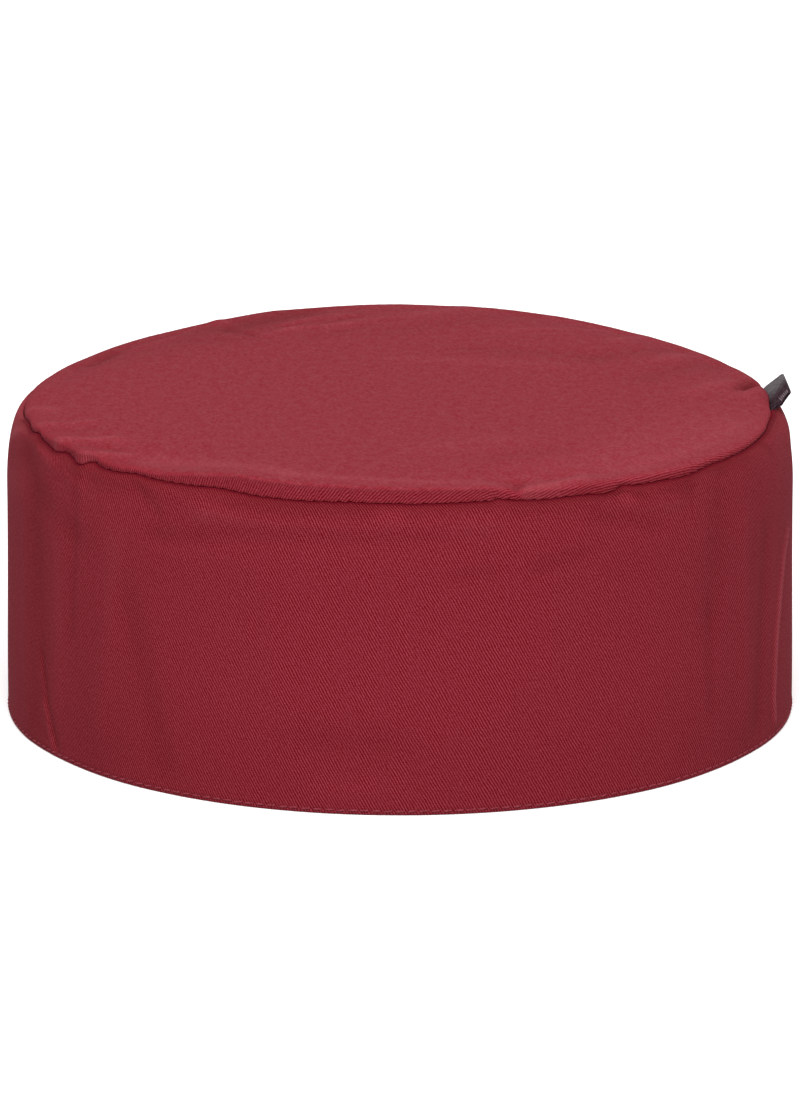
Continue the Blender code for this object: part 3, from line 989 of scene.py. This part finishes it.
# Waves of noise per metre in the label, its patches of painted sheen and the threads
LABEL_GRAIN = 1400.0
LABEL_SHEEN_PATCHES = 180.0
LABEL_SHEEN_SPAN = (0.30, 0.72)
EDGING_STRANDS = 2400.0
HEM_STRANDS = 2600.0
HEM_STRAND_SPAN = (0.35, 0.65)
HOLE_SHADE_SPAN = (0.12, 0.45)
FLOOR_GRAIN = 60.0


class Nodes:
    """A short way to write a material's nodes."""

    def __init__(self, name):
        self.material = bpy.data.materials.new(name)
        self.material.use_nodes = True
        self.tree = self.material.node_tree
        self.shader = self.tree.nodes["Principled BSDF"]

    def join(self, socket, value):
        if isinstance(value, bpy.types.NodeSocket):
            self.tree.links.new(value, socket)
        else:
            socket.default_value = value

    def node(self, kind, *values, **settings):
        made = self.tree.nodes.new(kind)
        for key, value in settings.items():
            setattr(made, key, value)
        for socket, value in zip(made.inputs, values):
            self.join(socket, value)
        return made

    def math(self, operation, *values):
        return self.node("ShaderNodeMath", *values, operation=operation).outputs[0]

    def vector_math(self, operation, *values):
        return self.node("ShaderNodeVectorMath", *values, operation=operation).outputs[0]

    def mix(self, share, first, second, blend="MIX"):
        made = self.node("ShaderNodeMix", share, data_type="RGBA", blend_type=blend)
        self.join(made.inputs[6], (*first, 1.0) if isinstance(first, tuple) else first)
        self.join(made.inputs[7], (*second, 1.0) if isinstance(second, tuple) else second)
        return made.outputs[2]

    def uv(self):
        """The cloth's own flat coordinates, in millimetres."""
        flat = self.node("ShaderNodeUVMap", uv_map="weave")
        scaled = self.node("ShaderNodeVectorMath", flat.outputs[0], operation="SCALE")
        scaled.inputs["Scale"].default_value = 1 / MM
        return scaled.outputs[0]

    def place(self):
        """The object's own coordinates, in metres."""
        return self.node("ShaderNodeTexCoord").outputs["Object"]

    def share(self, name):
        """A number that the mesh carries at each point."""
        return self.node("ShaderNodeAttribute", attribute_name=name).outputs["Fac"]

    def noise(self, vector, scale, detail=2.0, roughness=0.5):
        made = self.node("ShaderNodeTexNoise", vector)
        made.inputs["Scale"].default_value = scale
        made.inputs["Detail"].default_value = detail
        made.inputs["Roughness"].default_value = roughness
        return made.outputs[0]

    def ramp(self, value, low, high):
        return self.node("ShaderNodeMapRange", value, low, high, interpolation_type="SMOOTHSTEP").outputs[0]

    def finish(self, colour, roughness, specular, relief=None, depth=0.0):
        """Sets up the shader, with relief half as strong as a true one of that depth."""
        self.join(self.shader.inputs["Base Color"], colour)
        self.join(self.shader.inputs["Roughness"], roughness)
        self.shader.inputs["Specular IOR Level"].default_value = specular
        if relief is not None:
            bump = self.node("ShaderNodeBump")
            bump.inputs["Strength"].default_value = 0.5
            bump.inputs["Distance"].default_value = depth
            self.join(bump.inputs["Height"], relief)
            self.join(self.shader.inputs["Normal"], bump.outputs[0])
        return self.material


def twill(name, dark, light):
    """Burgundy twill: each yarn floats over two and dips under one, so that the floats line up in diagonal ribs."""
    nodes = Nodes(name)
    flat = nodes.uv()
    split = nodes.node("ShaderNodeSeparateXYZ", flat)
    u, v = split.outputs[0], split.outputs[1]
    bend = nodes.math("SUBTRACT", nodes.noise(flat, BEND_WAVES), 0.5)
    jitter = nodes.math("SUBTRACT", nodes.noise(flat, JITTER_WAVES, roughness=0.6), 0.5)

    # the floats of each yarn, every yarn a third of a repeat on from the one beside it
    yarns = nodes.math("MULTIPLY_ADD", u, MM / YARN_PITCH, nodes.math("MULTIPLY", bend, YARN_BEND))
    number = nodes.math("FLOOR", yarns)
    across = nodes.math("FRACT", yarns)
    along = nodes.math("MULTIPLY_ADD", v, MM / (3 * PICK_PITCH), nodes.math("DIVIDE", number, 3.0))
    stray = nodes.math("MULTIPLY_ADD", jitter, FLOAT_JITTER, nodes.math("MULTIPLY", bend, FLOAT_BEND))
    wave = nodes.math("COSINE", nodes.math("MULTIPLY", nodes.math("ADD", along, stray), 2 * math.pi))
    lift = nodes.ramp(wave, *FLOAT_SPAN)
    edge = nodes.math("MULTIPLY_ADD", across, 2.0, -1.0)
    rounding = nodes.math("MULTIPLY_ADD", nodes.math("MULTIPLY", edge, edge), FLOAT_ROUND, 1.0)
    beaded = [nodes.math("DIVIDE", value, size) for value, size in zip((u, v), BEAD_SIZE)]
    beads = nodes.noise(nodes.node("ShaderNodeCombineXYZ", *beaded).outputs[0], 1.0, detail=1.0)
    bright = nodes.math("MULTIPLY_ADD", nodes.ramp(beads, *NOISE_SPAN), *BEAD_GAIN)
    height = nodes.math("MULTIPLY", nodes.math("MULTIPLY", lift, rounding), bright)

    # the nap on the crown, and painted sheen over its top
    top_nap_and_sheen = nodes.share("top_nap_and_sheen")
    fuzz = nodes.noise(flat, FUZZ_WAVES, detail=3.0, roughness=0.7)
    even = nodes.math("MULTIPLY_ADD", nodes.ramp(fuzz, *NOISE_SPAN), *FUZZ_GAIN)
    cover = nodes.math("MULTIPLY", top_nap_and_sheen, FUZZ_COVER)
    woven = nodes.math("MULTIPLY", height, nodes.math("SUBTRACT", 1.0, cover))
    # colour by the floats' height: the weave, with painted shade low down and painted sheen on top
    colour = nodes.mix(nodes.math("MULTIPLY_ADD", even, cover, woven), dark, light)
    patches = nodes.math("MULTIPLY_ADD", nodes.noise(flat, SHEEN_WAVES, detail=3.0, roughness=0.6), *SHEEN_GAIN)
    painted_sheen_share = nodes.math("MULTIPLY", top_nap_and_sheen, nodes.math("MAXIMUM", patches, 0.0))
    colour = nodes.mix(painted_sheen_share, colour, PAINTED_SHEEN)

    # painted highlight and shade on the folds, and painted shade at the seam
    painted_seam_shade = nodes.share("painted_seam_shade")
    tone = nodes.math("SUBTRACT", nodes.share("painted_light_shade"), 0.5)
    highlight_share = nodes.math("MULTIPLY", nodes.math("MAXIMUM", tone, 0.0), PAINTED_HIGHLIGHT_GAIN)
    colour = nodes.mix(highlight_share, colour, PAINTED_HIGHLIGHT)
    darker = nodes.math("MINIMUM", tone, 0.0)
    shade = nodes.math("MULTIPLY_ADD", nodes.math("MINIMUM", painted_seam_shade, 1.0), SEAM_DEEPENS, darker)
    deepened = nodes.vector_math("MULTIPLY_ADD", shade, DEEPENING, (1.0, 1.0, 1.0))
    colour = nodes.mix(1.0, colour, nodes.vector_math("MAXIMUM", deepened, LEAST_LEFT), blend="MULTIPLY")
    # painted shade of the seam's edge, then the painted red of light bouncing inside its groove
    crevice_shade = nodes.math("MULTIPLY", nodes.ramp(painted_seam_shade, *CREVICE_SHADE_SPAN), CREVICE_SHADE_SHARE)
    colour = nodes.mix(crevice_shade, colour, CREVICE_SHADE)
    colour = nodes.mix(nodes.ramp(painted_seam_shade, *INSIDE_BOUNCE_SPAN), colour, INSIDE_SEAM_BOUNCE)

    nodes.shader.inputs["Sheen Weight"].default_value = 0.008
    nodes.shader.inputs["Sheen Roughness"].default_value = 0.5
    nodes.shader.inputs["Sheen Tint"].default_value = SHEEN_TINT
    roughness = nodes.math("MULTIPLY_ADD", height, -0.15, 0.95)
    return nodes.finish(colour, roughness, specular=0.06, relief=height, depth=0.08 * MM)


def label_satin():
    """Dark grey satin ribbon: a fine grain, with painted sheen towards the rear and painted shade towards the front.
    """
    nodes = Nodes("label_satin")
    grain = nodes.noise(nodes.place(), LABEL_GRAIN)
    patch = nodes.math("SUBTRACT", nodes.noise(nodes.place(), LABEL_SHEEN_PATCHES), 0.5)
    painted_light_shade = nodes.ramp(nodes.math("MULTIPLY_ADD", patch, 0.5, nodes.share("rearward")), *LABEL_SHEEN_SPAN)
    level = nodes.ramp(grain, *NOISE_SPAN)
    colour = nodes.mix(painted_light_shade, nodes.mix(level, *LABEL_DARK), nodes.mix(level, *LABEL_PALE))
    roughness = nodes.math("MULTIPLY_ADD", grain, 0.2, 0.6)
    return nodes.finish(colour, roughness, specular=0.0, relief=grain, depth=0.04 * MM)


def label_thread():
    nodes = Nodes("label_thread")
    strands = nodes.noise(nodes.place(), EDGING_STRANDS)
    colour = nodes.mix(nodes.ramp(strands, *NOISE_SPAN), *EDGING_THREAD)
    return nodes.finish(colour, nodes.math("MULTIPLY_ADD", strands, 0.2, 0.6), specular=0.0)


def hem_thread():
    """The twill's own colour, with painted shade where the thread goes into the cloth."""
    nodes = Nodes("hem_thread")
    strands = nodes.noise(nodes.place(), HEM_STRANDS)
    colour = nodes.mix(nodes.ramp(strands, *HEM_STRAND_SPAN), *HEM_THREAD)
    colour = nodes.mix(nodes.ramp(nodes.share("hole_shade"), *HOLE_SHADE_SPAN), colour, STITCH_HOLE_SHADE)
    roughness = nodes.math("MULTIPLY_ADD", strands, 0.2, 0.7)
    return nodes.finish(colour, roughness, specular=0.15, relief=strands, depth=0.05 * MM)


def pale_floor():
    """White floor with a little light of its own, which does not reach the hat."""
    nodes = Nodes("pale_floor")
    nodes.shader.inputs["Emission Color"].default_value = (1.0, 1.0, 1.0, 1.0)
    nodes.shader.inputs["Emission Strength"].default_value = FLOOR_GLOW
    colour = nodes.mix(nodes.noise(nodes.place(), FLOOR_GRAIN, detail=3.0), *FLOOR)
    return nodes.finish(colour, roughness=0.9, specular=0.5)


# ---- studio ----

CAMERA_DISTANCE = 1.8
CAMERA_ELEVATION = math.radians(15.14)
CAMERA_LENS = 232.3
CAMERA_AIM = Vector((0.0, 0.0, 0.03625))
HAT_MIDDLE = Vector((0.0, 0.0, 0.04))

LIGHT_ROUND = 0.52
BACKDROP = 1.05
KEY_DISTANCE = 2.3
KEY_TURN = math.radians(50)
SOFTBOXES = (
    # name, width and height m, power W, place
    ("key_softbox", (1.6, 1.4), 63.0, (0.0, -KEY_DISTANCE * math.cos(KEY_TURN), KEY_DISTANCE * math.sin(KEY_TURN))),
    ("back_softbox", (2.4, 0.8), 4.0, (0.0, 1.5, 1.0)),
    ("right_rim", (0.8, 1.2), 6.5, (1.8, 0.7, 0.5)),
    ("left_rim", (0.8, 1.2), 4.0, (-1.8, 0.7, 0.5)),
)
WASH_POWER = 160.0
WASH_PLACE = (0.0, 1.5, 2.6)
WASH_AIM = Vector((0.0, 1.05, 0.0))
WASH_SPREAD = math.radians(34)
FLOOR_HALF = 8.0
FLOOR_BELOW = 0.02 * MM


def stand(name, data, place, aim):
    """Puts a camera or a light at a place, turned to what it aims at."""
    made = bpy.data.objects.new(name, data)
    made.location = place
    made.rotation_euler = (aim - made.location).to_track_quat("-Z", "Y").to_euler()
    bpy.context.scene.collection.objects.link(made)
    return made


def add_camera():
    """View from the front, 15 degrees up, with the whole hat across the frame."""
    data = bpy.data.cameras.new("camera")
    data.sensor_width = 36.0
    data.lens = CAMERA_LENS
    data.clip_end = 50.0
    back, up = CAMERA_DISTANCE * math.cos(CAMERA_ELEVATION), CAMERA_DISTANCE * math.sin(CAMERA_ELEVATION)
    bpy.context.scene.camera = stand("camera", data, HAT_MIDDLE + Vector((0.0, -back, up)), CAMERA_AIM)


def add_lights():
    """A broad light from the front and above, softer ones behind, and a pool of light on the floor behind the hat."""
    for name, size, power, place in SOFTBOXES:
        data = bpy.data.lights.new(name, "AREA")
        data.shape = "RECTANGLE"
        data.size, data.size_y = size
        data.energy = power
        stand(name, data, place, HAT_MIDDLE)
    data = bpy.data.lights.new("floor_wash", "SPOT")
    data.energy = WASH_POWER
    data.spot_size = WASH_SPREAD
    data.spot_blend = 1.0
    data.shadow_soft_size = 0.3
    stand("floor_wash", data, WASH_PLACE, WASH_AIM)


def add_surroundings():
    """White all round, brighter to the camera than it lights the hat."""
    world = bpy.data.worlds.new("white_studio")
    world.use_nodes = True
    nodes, links = world.node_tree.nodes, world.node_tree.links
    chooser = nodes.new("ShaderNodeMixShader")
    links.new(nodes.new("ShaderNodeLightPath").outputs["Is Camera Ray"], chooser.inputs[0])
    for socket, background, strength in (
        (chooser.inputs[1], nodes["Background"], LIGHT_ROUND),
        (chooser.inputs[2], nodes.new("ShaderNodeBackground"), BACKDROP),
    ):
        background.inputs["Color"].default_value = (1.0, 1.0, 1.0, 1.0)
        background.inputs["Strength"].default_value = strength
        links.new(background.outputs[0], socket)
    links.new(chooser.outputs[0], nodes["World Output"].inputs[0])
    bpy.context.scene.world = world
    bpy.context.scene.view_settings.view_transform = "Standard"


def add_floor():
    mesh = bpy.data.meshes.new("studio_floor")
    corners = [(x * FLOOR_HALF, y * FLOOR_HALF, 0.0) for x, y in ((-1, -1), (1, -1), (1, 1), (-1, 1))]
    mesh.from_pydata(corners, [], [(0, 1, 2, 3)])
    mesh.materials.append(pale_floor())
    floor = bpy.data.objects.new("studio_floor", mesh)
    floor.location.z = -FLOOR_BELOW
    bpy.context.scene.collection.objects.link(floor)
    floor.visible_diffuse = False
    floor.visible_glossy = False


# ---- build ----


def build():
    add_camera()
    add_surroundings()
    add_lights()
    add_floor()
    cloth = twill("burgundy_twill", *BURGUNDY)
    crown = add_piece("crown_cloth", crown_cloth(), cloth)
    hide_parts("crown_top")
    band = add_piece("band_cloth", band_cloth(), cloth)
    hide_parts("side_band")
    stitching = add_piece("hem_stitching", hem_stitches(), hem_thread())
    label = add_piece("woven_label", woven_label(), label_satin())
    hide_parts("loop_label")
    edging = add_piece("label_edging", label_edging(), label_thread())


build()
